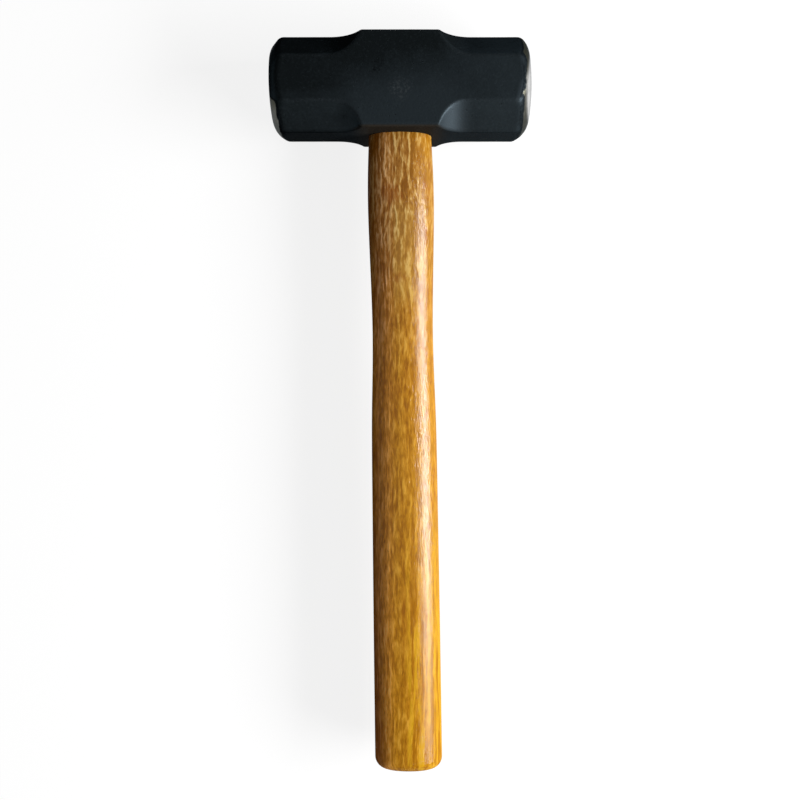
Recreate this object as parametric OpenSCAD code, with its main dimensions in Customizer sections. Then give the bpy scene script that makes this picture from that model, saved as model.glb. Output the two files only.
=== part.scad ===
// Club hammer: a double-faced forged steel head, wedged on an oval wooden handle.
// X runs along the head from one striking face to the other. Y runs along the handle, and the
// top of the head faces +Y. Z is up. The hammer lies on one cheek of its head, and the origin
// is on that cheek, under the middle of the head.

/* [Head] */
// Length of the head between the crowns of its two striking faces
head_len = 130; // [115:1:150]
// Height and thickness of the square forging, from flat to flat
head_w = 47; // [42:0.5:54]
// Leg of the chamfer along each long corner of the head
chamfer_leg = 12.5; // [9:0.5:14]
// Length of the full square corners in the middle of the head, round the eye
block_len = 37.5; // [36:0.5:48]
// Radius of the hollows in which the chamfers at the top of the head run out at the block
runout_r_top = 19; // [10.5:0.5:24]
// Radius of the hollows in which the chamfers at the bottom of the head run out at the block
runout_r_bottom = 13.5; // [10.5:0.5:20]
// Radius of the crown of each striking face
crown_r = 120; // [80:5:300]
// Radius of the striking face inside its bevel
face_r = 19.5; // [16:0.5:21.5]
// Angle between the bevel and the plane of the striking face
bevel_angle = 40; // [25:1:50]

/* [Eye] */
// Length of the eye at its waist, along the head
eye_len = 28; // [26:0.5:31]
// Width of the eye at its waist, across the head
eye_wid = 21; // [18:0.5:24]
// How far each side of the eye opens out from its waist to the top of the head
eye_flare_top = 1.4; // [0.6:0.1:2.2]
// How far each side of the eye opens out from its waist to the bottom of the head
eye_flare_bottom = 0.8; // [0.4:0.1:1.6]
// Height of the waist of the eye above the bottom of the head
eye_waist_height = 18; // [12:1:26]
// Clearance all round between the tenon of the handle and the eye
tenon_gap = 0.05; // [0.02:0.01:0.15]

/* [Handle] */
// Length of the handle below the head
handle_len = 315; // [260:1:420]
// Height of the end of the tenon above the top of the head
tenon_proud = 1.5; // [0.5:0.1:4]
// Width of the shoulder of the handle that butts against the bottom of the head
shoulder = 0.8; // [0.4:0.1:2]
// Distance of the swell from the head
swell_at = 34; // [26:1:44]
// Width of the swell, in the direction of the blow
swell_wid = 33; // [31:0.5:37]
// Thickness of the swell
swell_thick = 26; // [24:0.5:30]
// Distance of the slim waist of the handle from the head
slim_at = 96; // [85:1:115]
// Width of the slim waist
slim_wid = 30.2; // [28:0.2:33]
// Thickness of the slim waist
slim_thick = 23.8; // [22:0.2:27]
// Distance of the start of the grip from the head
grip_at = 145; // [135:1:170]
// Width of the grip at its start
grip_wid = 32.2; // [30:0.2:35]
// Thickness of the grip at its start
grip_thick = 25; // [23:0.5:29]
// Width of the butt
butt_wid = 33.4; // [31:0.2:38]
// Thickness of the butt
butt_thick = 26.4; // [24:0.4:31]
// Radius round the end of the butt
butt_round = 5.5; // [3:0.5:9]
// Angle by which the handle hangs out of square with the head
handle_lean = 0.8; // [0:0.1:1.5]
// Squareness of the oval section of the handle, where 2 is a true ellipse
section_power = 2.2; // [2:0.1:3]

/* [Wedges] */
// Length of the wooden wedge that spreads the tenon
wedge_len = 30; // [22:1:34]
// Thickness of the wooden wedge at the end of the handle
wedge_thick = 5; // [4:0.2:6.4]
// Thickness of the wooden wedge at its tip
wedge_tip = 1.6; // [1.2:0.1:2.4]
// Width of the saw kerf in which the wooden wedge is driven
kerf_wid = 1.2; // [0.8:0.1:2]
// Depth of the saw kerf below the end of the tenon
kerf_depth = 37; // [35:1:42]
// Length of each steel wedge
steel_len = 24; // [16:1:28]
// Width of each steel wedge, across the wooden one
steel_wid = 14; // [10:0.5:15]
// Thickness of each steel wedge at its head
steel_thick = 2.8; // [2:0.1:3.6]
// Thickness of each steel wedge at its tip
steel_tip = 0.5; // [0.3:0.1:0.8]
// Distance between the middles of the two steel wedges
steel_pitch = 13; // [10:0.5:14]
// Depth of the head of each steel wedge below the end of the tenon
steel_sunk = 0.4; // [0:0.1:1]
// Radius of each groove in the faces of the steel wedges, which holds them in the wood
groove_r = 0.3; // [0.1:0.05:0.4]
// Distance between the grooves along each steel wedge
groove_pitch = 3.5; // [2:0.5:4.5]

/* [Hidden] */
$fn = 128;

steel_painted = [0.13, 0.15, 0.17];
steel_bare = [0.62, 0.63, 0.64];
wood_varnished = [0.74, 0.52, 0.24];
wood_pale = [0.86, 0.72, 0.48];

beyond = 5;                                  // how far a cutter reaches past what it cuts
half_w = head_w / 2;
head_top = half_w;
head_bottom = -half_w;
tenon_end = head_top + tenon_proud;

// The chamfers, measured outwards from the head's own axis along the diagonal
corner_out = half_w * sqrt(2);
chamfer_out = (head_w - chamfer_leg) / sqrt(2);
runout_rise = corner_out - chamfer_out;

// The cone of each bevel comes to a point this far out along the head's own axis
crown_drop = crown_r - sqrt(pow(crown_r, 2) - pow(face_r, 2));
bevel_apex = head_len / 2 - crown_drop + face_r * tan(bevel_angle);

// The oval eye: two cones side by side along the head, and the flat walls between them
eye_spread = (eye_len - eye_wid) / 2;
eye_waist_y = head_bottom + eye_waist_height;
eye_waist_r = eye_wid / 2;
eye_top_slope = eye_flare_top / (head_top - eye_waist_y);
eye_bottom_slope = eye_flare_bottom / (eye_waist_y - head_bottom);
eye_bottom_r = eye_waist_r + eye_flare_bottom;
tenon_root = 6;                              // how far the tenon runs on inside the handle

// The shaft goes through these stations: distance below the head, width and thickness
neck_thick = 2 * (eye_bottom_r + shoulder);
neck_wid = neck_thick + 2 * eye_spread;
stations = [
    [0, neck_wid, neck_thick],
    [swell_at, swell_wid, swell_thick],
    [slim_at, slim_wid, slim_thick],
    [grip_at, grip_wid, grip_thick],
    [handle_len, butt_wid, butt_thick]
];
last_station = len(stations) - 1;
shaft_rings = 34;                            // along the shaft, above the round of the butt
round_rings = 6;                             // round the end of the butt
section_sides = 48;

// Slope of column c of the stations at station i, which is level at both ends
function station_slope(i, c) =
    i == 0 || i == last_station ? 0 :
    (stations[i + 1][c] - stations[i - 1][c]) / (stations[i + 1][0] - stations[i - 1][0]);

// Index of the last station, short of the butt, that distance d has reached
function stretch_of(d) = max([for (i = [0 : last_station - 1]) if (d >= stations[i][0]) i]);

// Smooth curve through column c of stations i and i + 1, at share t of the way
function on_stretch(i, c, t) =
    let (h = stations[i + 1][0] - stations[i][0])
    stations[i][c] * (2 * pow(t, 3) - 3 * pow(t, 2) + 1)
    + stations[i + 1][c] * (3 * pow(t, 2) - 2 * pow(t, 3))
    + station_slope(i, c) * h * (pow(t, 3) - 2 * pow(t, 2) + t)
    + station_slope(i + 1, c) * h * (pow(t, 3) - pow(t, 2));

// Width (c = 1) or thickness (c = 2) of the shaft at distance d below the head
function shaft_size(d, c) =
    let (i = stretch_of(d))
    on_stretch(i, c, (d - stations[i][0]) / (stations[i + 1][0] - stations[i][0]));

// Distance below the head, and inset of the surface, of ring k of the shaft
function ring_place(k) =
    k <= shaft_rings
        ? [(handle_len - butt_round) * k / shaft_rings, 0]
        : let (a = 90 * (k - shaft_rings) / round_rings)
          [handle_len - butt_round * (1 - sin(a)), butt_round * (1 - cos(a))];

// Coordinate of a squarish oval with half size a, from the sine or cosine s of its angle
function oval(a, s) = a * sign(s) * pow(abs(s), 2 / section_power);

// The points round the shaft at distance d below the head, taken in by inset
function section(d, inset) = [
    for (j = [0 : section_sides - 1])
        let (a = 360 * j / section_sides)
        [
            d * tan(handle_lean) + oval(shaft_size(d, 1) / 2 - inset, cos(a)),
            head_bottom - d,
            oval(shaft_size(d, 2) / 2 - inset, sin(a))
        ]
];

// Sets a piece drawn round the head's own axis down on the cheek that the hammer lies on
module on_cheek() {
    translate([0, 0, half_w]) children();
}

// Oval rod from y1 to y2 along the handle, whose end radius goes from r1 to r2
module oval_taper(y1, y2, r1, r2) {
    translate([0, y1, 0]) {
        for (side = [-1, 1])
            translate([side * eye_spread, 0, 0])
                rotate([-90, 0, 0]) cylinder(h = y2 - y1, r1 = r1, r2 = r2);
        rotate([90, 0, 90])
            linear_extrude(height = 2 * eye_spread, center = true)
                polygon([[0, -r1], [0, r1], [y2 - y1, r2], [y2 - y1, -r2]]);
    }
}

// The waisted form of the eye, made smaller by inset, from y1 up to y2
module eye_form(y1, y2, inset) {
    waist_r = eye_waist_r - inset;
    oval_taper(eye_waist_y, y2, waist_r, waist_r + (y2 - eye_waist_y) * eye_top_slope);
    oval_taper(y1, eye_waist_y, waist_r + (eye_waist_y - y1) * eye_bottom_slope, waist_r);
}

// The end of the handle as it fills the eye, spread by its wedges
module tenon_form() {
    eye_form(head_bottom - tenon_root, tenon_end, tenon_gap);
}

// What is taken off one corner of one end: the chamfer, and the hollow where it runs out
module corner_cut(hollow_r) {
    start = block_len / 2 + sqrt(pow(hollow_r, 2) - pow(hollow_r - runout_rise, 2));
    linear_extrude(height = 2 * head_w, center = true) {
        translate([start, chamfer_out]) square([head_len, head_w]);
        translate([start, chamfer_out + hollow_r]) circle(r = hollow_r);
    }
}

// The crown of one striking face, as the ball that it is part of
module crown(side) {
    translate([side * (head_len / 2 - crown_r), 0, 0]) sphere(r = crown_r, $fn = 200);
}

// The bevel round one striking face, as the cone that it is part of
module bevel(side) {
    translate([side * bevel_apex, 0, 0])
        rotate([0, -90 * side, 0])
            cylinder(h = 2 * bevel_apex, r1 = 0, r2 = 2 * bevel_apex / tan(bevel_angle));
}

// Forged head: a square bar with chamfered corners, ground striking faces and a waisted eye
module head() {
    color(steel_painted) on_cheek() difference() {
        intersection() {
            cube([head_len, head_w, head_w], center = true);
            crown(-1);
            crown(1);
            bevel(-1);
            bevel(1);
        }
        for (end = [0, 1], side = [-1, 1])
            mirror([end, 0, 0]) {
                rotate([45 * side, 0, 0]) corner_cut(runout_r_top);
                rotate([135 * side, 0, 0]) corner_cut(runout_r_bottom);
            }
        eye_form(head_bottom - beyond, head_top + beyond, 0);
    }
}

// Oval shaft of the handle, from the bottom of the head to the rounded butt
module shaft() {
    rings = shaft_rings + round_rings;
    n = section_sides;
    points = [for (k = [0 : rings]) each section(ring_place(k)[0], ring_place(k)[1])];
    side_faces = [
        for (k = [0 : rings - 1], j = [0 : n - 1])
            let (a = k * n + j, b = k * n + (j + 1) % n)
            each [[a, b + n, b], [a, a + n, b + n]]
    ];
    neck_face = [for (j = [0 : n - 1]) j];
    butt_face = [for (j = [0 : n - 1]) rings * n + n - 1 - j];
    polyhedron(points = points, faces = concat([neck_face], side_faces, [butt_face]));
}

// Outline of a driven wedge, down from the end of the tenon: as thick as t1 there and as t2 at
// its tip
module wedge_outline(length, t1, t2) {
    t0 = t1 + (t1 - t2) * beyond / length;
    polygon([[-t0 / 2, beyond], [-t2 / 2, -length], [t2 / 2, -length], [t0 / 2, beyond]]);
}

// The room of the wooden wedge, right across the tenon along the head
module wood_wedge_room() {
    translate([0, tenon_end, 0])
        rotate([0, 90, 0])
            linear_extrude(height = 2 * eye_len, center = true)
                wedge_outline(wedge_len, wedge_thick, wedge_tip);
}

// The room of one steel wedge, which stands across the wooden one
module steel_wedge_room(side) {
    translate([side * steel_pitch / 2, tenon_end, 0])
        linear_extrude(height = steel_wid, center = true)
            wedge_outline(steel_len, steel_thick, steel_tip);
}

// The grooves across both faces of one steel wedge
module steel_grooves(side) {
    slope = (steel_thick - steel_tip) / (2 * steel_len);
    for (down = [groove_pitch : groove_pitch : steel_len - groove_pitch], face = [-1, 1])
        translate([
            side * steel_pitch / 2 + face * (steel_thick / 2 - down * slope),
            tenon_end - down,
            0
        ])
            cylinder(h = 2 * steel_wid, r = groove_r, center = true, $fn = 24);
}

// Handle: the shaft, and the tenon that is sawn and spread to take the wedges
module handle() {
    color(wood_varnished) on_cheek() difference() {
        union() {
            shaft();
            tenon_form();
        }
        translate([0, tenon_end - kerf_depth / 2 + beyond / 2, 0])
            cube([2 * eye_len, kerf_depth + beyond, kerf_wid], center = true);
        wood_wedge_room();
        for (side = [-1, 1]) steel_wedge_room(side);
    }
}

// Hardwood wedge, driven into the kerf along the eye and sawn off level with the tenon
module wood_wedge() {
    color(wood_pale) on_cheek() difference() {
        intersection() {
            wood_wedge_room();
            tenon_form();
        }
        for (side = [-1, 1]) steel_wedge_room(side);
    }
}

// Steel wedge with grooved faces, driven across the wooden one on one side of its middle
module steel_wedge(side) {
    color(steel_bare) on_cheek() difference() {
        steel_wedge_room(side);
        translate([0, tenon_end - steel_sunk + head_w, 0]) cube(2 * head_w, center = true);
        steel_grooves(side);
    }
}

head();
handle();
wood_wedge();
steel_wedge(-1);  // steel_wedge_left
steel_wedge(1);  // steel_wedge_right
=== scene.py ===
import math
import bmesh
import bpy
import numpy as np
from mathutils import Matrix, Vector, noise


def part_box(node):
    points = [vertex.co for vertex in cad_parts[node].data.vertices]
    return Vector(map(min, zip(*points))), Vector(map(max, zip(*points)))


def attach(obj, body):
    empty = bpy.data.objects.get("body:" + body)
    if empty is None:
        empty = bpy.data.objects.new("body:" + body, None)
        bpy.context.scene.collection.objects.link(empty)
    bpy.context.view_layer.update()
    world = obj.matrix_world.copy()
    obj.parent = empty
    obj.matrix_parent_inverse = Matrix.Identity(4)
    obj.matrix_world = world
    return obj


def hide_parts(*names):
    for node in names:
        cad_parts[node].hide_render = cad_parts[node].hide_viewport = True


# Club hammer, lying on one cheek of its head. X runs along the head, Y along the handle with the
# butt at -Y, and Z is up. All sizes are in metres, so the ones below are given as so many mm.
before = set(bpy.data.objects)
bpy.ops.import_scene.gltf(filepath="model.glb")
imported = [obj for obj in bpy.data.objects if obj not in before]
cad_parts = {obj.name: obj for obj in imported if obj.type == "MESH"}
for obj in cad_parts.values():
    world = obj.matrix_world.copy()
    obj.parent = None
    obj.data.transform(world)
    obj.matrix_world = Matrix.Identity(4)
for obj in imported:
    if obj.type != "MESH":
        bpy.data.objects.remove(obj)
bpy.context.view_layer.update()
mm = 0.001

# The head. One steel forging: a square bar whose corners are chamfered at both ends, with the
# chamfers run out in hollows beside the full-square middle that holds the eye. A thin satin black
# is burnt on, and both striking faces are then ground bare, with a slight crown and a bevel.
head_low, head_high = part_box("head")
half_len = 65 * mm
half_w = (head_high.z - head_low.z) / 2
axis_z = (head_high.z + head_low.z) / 2
chamfer_leg = 12.5 * mm
block_len = 37.5 * mm
runout_r_top = 19 * mm
runout_r_bottom = 13.5 * mm
crown_r = 120 * mm
face_r = 19.5 * mm
bevel_slope = math.tan(math.radians(40))
chamfer_out = (2 * half_w - chamfer_leg) / math.sqrt(2)
corner_out = half_w * math.sqrt(2)
crown_drop = crown_r - math.sqrt(crown_r**2 - face_r**2)
bevel_apex = half_len - crown_drop + face_r * bevel_slope
forged_edge = 0.9 * mm
block_edge = 0.45 * mm
ground_edge = 1.6 * mm
crown_edge = 1.2 * mm
# The bevels were ground by hand, a little above the middle and less deep on the right face,
# and the left face leans
grind_high = 1.0 * mm
right_less = 0.5 * mm
left_crown_high = 4 * mm
# The dips in the black skin: how wide the large and the small ones are, and their depth as a
# share of the distance from the middle of the head
dip_wide = 19 * mm
dip_narrow = 6 * mm
dip_depth = 0.0028
# The dips fade out over this distance from the ground faces
dip_fade = 3 * mm
# Points in each ring round the bar, and the distance between rings along its middle
bar_points = 336
bar_step = 0.55 * mm
# Points closer together than this are one
hair = 0.001 * mm


def rounded_meet(distances, radius):
    """Distance to the solid that several surfaces bound together, with its edges rounded."""
    pushed = np.stack([d + radius for d in distances])
    corner = np.linalg.norm(np.maximum(pushed, 0), axis=0)
    return np.minimum(pushed.max(0), 0) + corner - radius


def face_distance(points):
    """Distance out from the ground crown and bevel of the nearer striking face."""
    x = abs(points[:, 0])
    crown_y = points[:, 1] - left_crown_high * (points[:, 0] < 0)
    crown = np.hypot(x + crown_r - half_len, np.hypot(crown_y, points[:, 2])) - crown_r
    rho = np.hypot(points[:, 1] - grind_high, points[:, 2])
    apex = bevel_apex + np.where(points[:, 0] > 0, right_less, 0)
    bevel = (x + rho * bevel_slope - apex) / math.hypot(1, bevel_slope)
    return rounded_meet([crown, bevel], crown_edge)


def runout(top):
    """Radius of the hollow at the end of a chamfer, and how far out along X it starts."""
    radius = np.where(top, runout_r_top, runout_r_bottom)
    return radius, block_len / 2 + np.sqrt(radius**2 - (radius - corner_out + chamfer_out) ** 2)


def bar_distances(points):
    """Distances out from the flats, the chamfers with their hollows, and the block's corners."""
    radius, start = runout(points[:, 1] > 0)
    x, y, z = abs(points).T
    out = (y + z) / math.sqrt(2)
    hollow = radius - np.hypot(start - x, chamfer_out + radius - out)
    chamfer = np.where(x < start, hollow, out - chamfer_out)
    corner = out - (corner_out - block_edge)
    return [y - half_w, z - half_w, chamfer, corner]


def head_distance(points):
    """Distance out from the whole forging, before the eye is punched."""
    bar = rounded_meet(bar_distances(points), forged_edge)
    return rounded_meet([bar, face_distance(points)], ground_edge)


def settled(points, distance, rounds=6):
    """Moves each point square to the surface until its distance from it is nought."""
    step = 0.01 * mm
    for _ in range(rounds):
        here = distance(points)
        slope = np.stack(
            [
                (distance(points + shift) - distance(points - shift)) / (2 * step)
                for shift in np.eye(3) * step
            ],
            axis=1,
        )
        points = points - slope * (here / np.maximum((slope**2).sum(1), 0.2))[:, None]
    return points


def lofted(name, rings):
    """A closed skin over rings of points, with a fan of triangles on each end."""
    rings = np.asarray(rings)
    rows, around = rings.shape[:2]
    points = np.vstack([rings.reshape(-1, 3), rings[0].mean(0), rings[-1].mean(0)])
    first, last = rows * around, rows * around + 1
    faces = []
    for j in range(around):
        k = (j + 1) % around
        faces.append((first, k, j))
        faces.append((last, (rows - 1) * around + j, (rows - 1) * around + k))
        for i in range(rows - 1):
            faces.append((i * around + j, i * around + k, (i + 1) * around + k, (i + 1) * around + j))
    mesh = bpy.data.meshes.new(name)
    mesh.from_pydata([tuple(p) for p in points], [], faces)
    piece = bpy.data.objects.new(name, mesh)
    bpy.context.scene.collection.objects.link(piece)
    return piece


def tidied(piece, sharp_angle):
    """Merges doubles, turns the faces outwards and shades smooth up to an angle in degrees."""
    work = bmesh.new()
    work.from_mesh(piece.data)
    bmesh.ops.remove_doubles(work, verts=work.verts, dist=hair)
    bmesh.ops.dissolve_degenerate(work, edges=work.edges, dist=hair)
    bmesh.ops.recalc_face_normals(work, faces=work.faces)
    for face in work.faces:
        face.smooth = True
    for edge in work.edges:
        edge.smooth = edge.calc_face_angle(0) < math.radians(sharp_angle)
    work.to_mesh(piece.data)
    work.free()


def made_plain(piece):
    """Turns what a piece's modifiers make into its plain mesh."""
    shown = piece.evaluated_get(bpy.context.evaluated_depsgraph_get())
    result = bpy.data.meshes.new_from_object(shown)
    piece.modifiers.clear()
    piece.data = result


def cut(piece, cutters):
    """Takes the cutters out of the piece and deletes them."""
    for cutter in cutters:
        tool = piece.modifiers.new("cut", "BOOLEAN")
        tool.operation = "DIFFERENCE"
        tool.solver = "EXACT"
        tool.object = cutter
    made_plain(piece)
    for cutter in cutters:
        bpy.data.objects.remove(cutter)


def oval_ring(y, spread, radius, around):
    """Ring of points across the handle at y: two half circles joined by straights."""
    angle = np.arange(around) * 2 * math.pi / around
    side = np.where(np.cos(angle) >= 0, spread, -spread)
    return np.stack(
        [side + radius * np.cos(angle), np.full(around, y), axis_z + radius * np.sin(angle)], axis=1
    )


def crowded_angles(count):
    """Angles round the head, closer together beside its long edges than on its flats."""
    flat_edge = math.atan2(half_w - chamfer_leg, half_w)
    edges = [q * math.pi / 2 + a for q in range(4) for a in (-flat_edge, flat_edge, math.pi / 4)]
    fine = np.arange(4000) * math.tau / 4000
    off = np.stack([abs((fine - e + math.pi) % math.tau - math.pi) for e in edges]).min(0)
    crowd = np.cumsum(1 + 3.5 * np.exp(-((off / math.radians(2.2)) ** 2)))
    return np.interp(np.arange(count) / count, (crowd - crowd[0]) / crowd[-1], fine)


def forged_rings():
    """Rings from one striking face to the other, a little off the true surface."""
    angle = crowded_angles(bar_points)
    wide = np.maximum(abs(np.cos(angle)), abs(np.sin(angle)))
    slant = (abs(np.cos(angle)) + abs(np.sin(angle))) / math.sqrt(2)
    end_out = np.minimum(half_w / wide, chamfer_out / slant)
    end_x = bevel_apex - end_out * bevel_slope
    hollow_r, hollow_x = runout(np.cos(angle) > 0)
    last_flat = hollow_x.max() + 0.5 * mm

    def ring(x, rho):
        return np.stack([x + 0 * angle, rho * np.cos(angle), rho * np.sin(angle)], axis=1)

    half = []
    for share in (0.04, 0.1, 0.18, 0.28, 0.38, 0.48, 0.58, 0.68, 0.77, 0.85, 0.91, 0.96, 1):
        rho = share * face_r
        half.append(ring(half_len - crown_r + math.sqrt(crown_r**2 - rho**2), rho))
    for share in (0.08, 0.2, 0.35, 0.5, 0.62, 0.72, 0.81, 0.89, 0.95, 1):
        rho = face_r + share * (end_out - face_r)
        half.append(ring(bevel_apex - rho * bevel_slope, rho))
    for share in (0.008, 0.018, 0.03, 0.045, 0.065, 0.09, *np.linspace(0.13, 1, 17)):
        half.append(ring(end_x + share * (last_flat - end_x), end_out))
    for x in np.arange(last_flat - bar_step, 0.3 * mm, -bar_step):
        reach = hollow_r**2 - np.clip(hollow_x - x, 0, hollow_r) ** 2
        out = chamfer_out + hollow_r - np.sqrt(reach)
        half.append(ring(x, np.minimum(half_w / wide, out / slant)))
    other = [points * (-1, 1, 1) for points in half[::-1]]
    return half + other


head = lofted("forged_head", forged_rings())
points = np.array([v.co for v in head.data.vertices])
points = settled(points, head_distance)

# Slight hollows left in the black skin by the dies and by scale, nowhere proud of the true size
skin = np.clip(-face_distance(points) / dip_fade, 0, 1)
for i in np.flatnonzero(skin > 0):
    place = Vector(points[i])
    swell = noise.noise(place / dip_wide) + 0.4 * noise.noise(place / dip_narrow)
    points[i] *= 1 - dip_depth * skin[i] * (0.6 + 0.6 * swell)
points[:, 2] += axis_z
head.data.vertices.foreach_set("co", points.astype(np.float32).ravel())

# The eye: an oval hole with a waist, whose mouths are eased so that they don't cut the wood
eye_spread = 3.5 * mm
eye_waist_r = 10.5 * mm
eye_waist_y = -5 * mm
eye_top_r = 11.9 * mm
eye_bottom_r = 11.3 * mm
eye_ease = 0.7 * mm
eye_points = 96
# How far a cutter reaches past what it cuts
past = 2 * mm


def eye_rings():
    """Rings up the eye, out past both of its mouths."""
    return [
        oval_ring(y, eye_spread, radius, eye_points)
        for y, radius in (
            (-half_w - past, eye_bottom_r + eye_ease + past),
            (-half_w + eye_ease, eye_bottom_r),
            (eye_waist_y, eye_waist_r),
            (half_w - eye_ease, eye_top_r),
            (half_w + past, eye_top_r + eye_ease + past),
        )
    ]


punch = lofted("punch", eye_rings())
tidied(punch, 30)
tidied(head, 40)
cut(head, [punch])
tidied(head, 40)


def eased(value, low, high):
    """Smooth step from 0 to 1 as value goes from low to high."""
    share = np.clip((value - low) / (high - low), 0, 1)
    return share * share * (3 - 2 * share)


def mark(name, values):
    """Keeps a number for each point of the head, for its finish to read."""
    layer = head.data.attributes.new(name, "FLOAT", "POINT")
    layer.data.foreach_set("value", values.astype(np.float32))


# Where the faces were ground bare after blackening, as a distance in from the edge of the black:
# its radius down the right face, and down the left, whose upper front is black as a painted dark
# reflection
points = np.array([v.co for v in head.data.vertices]) - (0, 0, axis_z)
x, y, z = points.T / mm
rho = np.hypot(y - grind_high / mm, z)
right_y = (-24, -12, -9, -7.5, -5, -2, 9, 12, 24)
right_edge = (23.9, 23.9, 24.1, 24.7, 23.4, 22.7, 22.6, 24.0, 24.2)
# On the left face the black reaches over its upper front, a painted dark reflection
left_edge = 24.4 - 1.0 * eased(y, -20, -16) - 9.5 * eased(y, -12, -3.5) * eased(z, 2, 9)
edge = np.where(x > 0, np.interp(y, right_y, right_edge), left_edge)
inside = np.minimum(edge - rho, 1.2 + 2.5 * face_distance(points) / mm)
mark("bare_zone", inside)

# How bright each ground face is: polished by striking in a wide patch, to one side of the middle,
# and with painted reflection lighter low on each face and on its crown
struck = np.where(x > 0, np.hypot(y + 0.8, z - 6) - 16.5, np.hypot(y - 3, z + 5) - 16.3)
# Painted reflection: lighter low on each face
dull = np.where(x > 0, 0.08 * (1 - eased(y, -12, -4)), 0.16 * (1 - eased(y, -17, -9)))
# Painted reflection: lighter on the crown
inner = 0.12 * (1 - eased(rho, 19, 23))
bright = 0.7 * (1 - eased(struck, -1, 1)) * (0.6 + 0.4 * eased(rho, 14, 19))
mark("polish_and_painted_reflection", bright + dull + inner)

# How near each point is to one of the head's long edges, for a painted highlight where light catches
# them, and how much painted highlight the right hollow under the head and a band beside the right
# face get
surfaces = np.array(bar_distances(points)) / mm
# Painted highlight along the long edges
mark("painted_edge_highlight", eased(np.sort(surfaces, axis=0)[-2], -1.1, -0.2))
# Painted highlight in the right hollow, where the pale floor would reflect, and in a band beside the right
# face
hollow = eased(surfaces[2], -0.7, -0.2) * (y < 0) * (1 - eased(abs(x - 24.5), 1, 12))
beside = eased(inside, -5, -3) * (1 - eased(inside, -1.6, -0.8)) * (x > 0)
beside *= eased(y, -13, -10) * (1 - eased(y, -4, 0))
mark("painted_highlight_right", np.maximum(0.62 * hollow, 0.35 * beside))


def add(tree, kind, inputs=(), **settings):
    """Adds a node with its settings, and sets or links its inputs by name or place."""
    made = tree.nodes.new(kind)
    for name, value in settings.items():
        setattr(made, name, value)
    for name, value in dict(inputs).items():
        if isinstance(value, bpy.types.NodeSocket):
            tree.links.new(value, made.inputs[name])
        else:
            made.inputs[name].default_value = value
    return made


def sums(tree, operation, a, b=0.0, c=0.0):
    """One step of arithmetic on two or three sockets or numbers."""
    return add(tree, "ShaderNodeMath", {0: a, 1: b, 2: c}, operation=operation).outputs[0]


def away_from(tree, place, spot):
    """Distance of each point from a spot."""
    return add(tree, "ShaderNodeVectorMath", {0: place, 1: spot}, operation="DISTANCE").outputs["Value"]


def new_finish(name):
    """A material with one Principled shader, and its Object coordinates in millimetres."""
    material = bpy.data.materials.new(name)
    material.use_nodes = True
    tree = material.node_tree
    shader = tree.nodes["Principled BSDF"]
    place = add(tree, "ShaderNodeTexCoord").outputs["Object"]
    return material, tree, shader, stretched(tree, place, (1000, 1000, 1000))


def stretched(tree, place, scale, turn=(0, 0, 0)):
    """Coordinates scaled, and turned by angles in degrees, so that a pattern stretches."""
    turn = [math.radians(a) for a in turn]
    return add(tree, "ShaderNodeMapping", {"Vector": place, "Scale": scale, "Rotation": turn}).outputs[0]


def grain(tree, place, scale, detail=2.0, rough=0.5, twist=0.0):
    """Noise of so many features to the millimetre, from 0 to 1."""
    values = {"Vector": place, "Scale": scale, "Detail": detail, "Roughness": rough, "Distortion": twist}
    return add(tree, "ShaderNodeTexNoise", values).outputs["Fac"]


def between(tree, value, low, high, to_low=0.0, to_high=1.0):
    """Smooth step from one value to another as value goes from low to high."""
    values = {"Value": value, "From Min": low, "From Max": high, "To Min": to_low, "To Max": to_high}
    return add(tree, "ShaderNodeMapRange", values, interpolation_type="SMOOTHSTEP").outputs["Result"]


def tint(tree, share, under, over):
    """Colour that goes from one to the other as share goes from 0 to 1."""
    mix = add(tree, "ShaderNodeMix", data_type="RGBA")
    for name, value in (("Factor_Float", share), ("A_Color", under), ("B_Color", over)):
        socket = next(s for s in mix.inputs if s.identifier == name)
        if isinstance(value, bpy.types.NodeSocket):
            tree.links.new(value, socket)
        elif name == "Factor_Float":
            socket.default_value = value
        else:
            socket.default_value = (*value, 1)
    return next(s for s in mix.outputs if s.identifier == "Result_Color")


def raised(tree, height, depth, under=None):
    """Normal of a surface whose height goes over a depth in metres."""
    values = {"Height": height, "Distance": depth, "Strength": 1.0}
    if under is not None:
        values["Normal"] = under
    return add(tree, "ShaderNodeBump", values).outputs[0]


def reading(tree, name):
    """What a mark of that name says at each point."""
    return add(tree, "ShaderNodeAttribute", attribute_name=name).outputs["Fac"]


# Colours of the black, from its thickest to where it has worn, with those for painted light,
# highlight and shade, and of the steel beneath
deep_black = (0.0084, 0.011, 0.0122)
# Palest black, for mottling and for painted light
mottled_and_lit_black = (0.0226, 0.0305, 0.0356)
dust_grey = (0.05, 0.066, 0.075)
pit_black = (0.004, 0.0045, 0.005)
# Painted highlight along the head's long edges
edge_highlight_black = (0.034, 0.042, 0.048)
scuffed_black = (0.075, 0.085, 0.09)
# Painted highlight in the right hollow and beside the right face
highlight_grey = (0.063, 0.081, 0.095)
stain_black = (0.003, 0.0035, 0.004)
shaded_black = (0.001, 0.0012, 0.0013)
underside_brown = (0.036, 0.029, 0.0215)
dark_edge_black = (0.0025, 0.003, 0.0035)
brown_steel = (0.05, 0.049, 0.034)
grey_steel = (0.25, 0.25, 0.24)
struck_steel = (0.72, 0.72, 0.71)
black_sheen = (0.3, 0.32, 0.34)
black_relief = 0.12 * mm
# Middles of the pale scuff and of the dark stain on the upper cheek, in millimetres
scuff_spot = (0, -5.5, 47)
stain_spot = (-11, 5.5, 47)


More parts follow.
